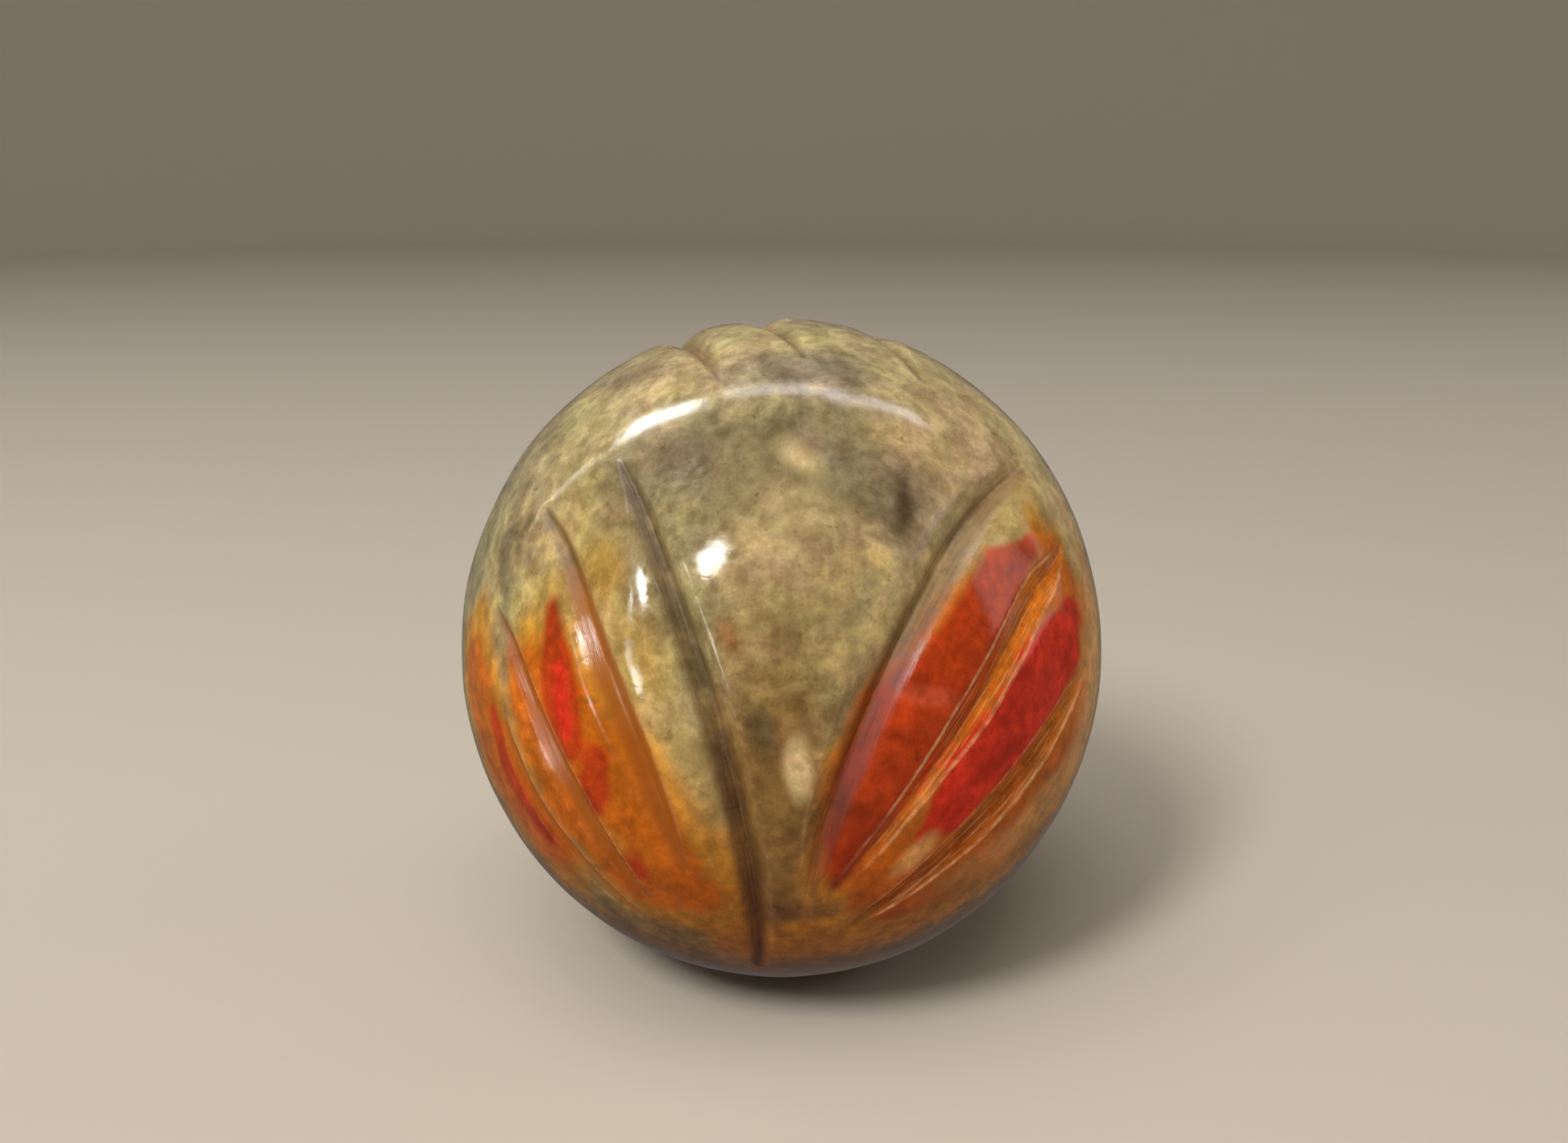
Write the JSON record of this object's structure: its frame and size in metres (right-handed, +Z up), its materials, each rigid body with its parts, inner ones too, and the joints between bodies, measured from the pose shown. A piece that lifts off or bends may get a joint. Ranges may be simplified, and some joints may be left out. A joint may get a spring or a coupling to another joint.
{
  "type": "carved stone ball",
  "caption": "Polished mottled stone ball with a dressed front face, a brow ridge and fans of carved V grooves, resting on a small ground flat.",
  "frame": {"origin": "middle of the ground flat that the ball rests on", "axes": "+Z up, -Y towards the front with the dressed face, +X to the right of someone facing the front"},
  "size_m": [0.09, 0.09, 0.0908],
  "materials": {
    "mottled_stone": "polished"
  },
  "bodies": {
    "root": {"carved_stone_ball": "mottled_stone"}
  },
  "joints": []
}
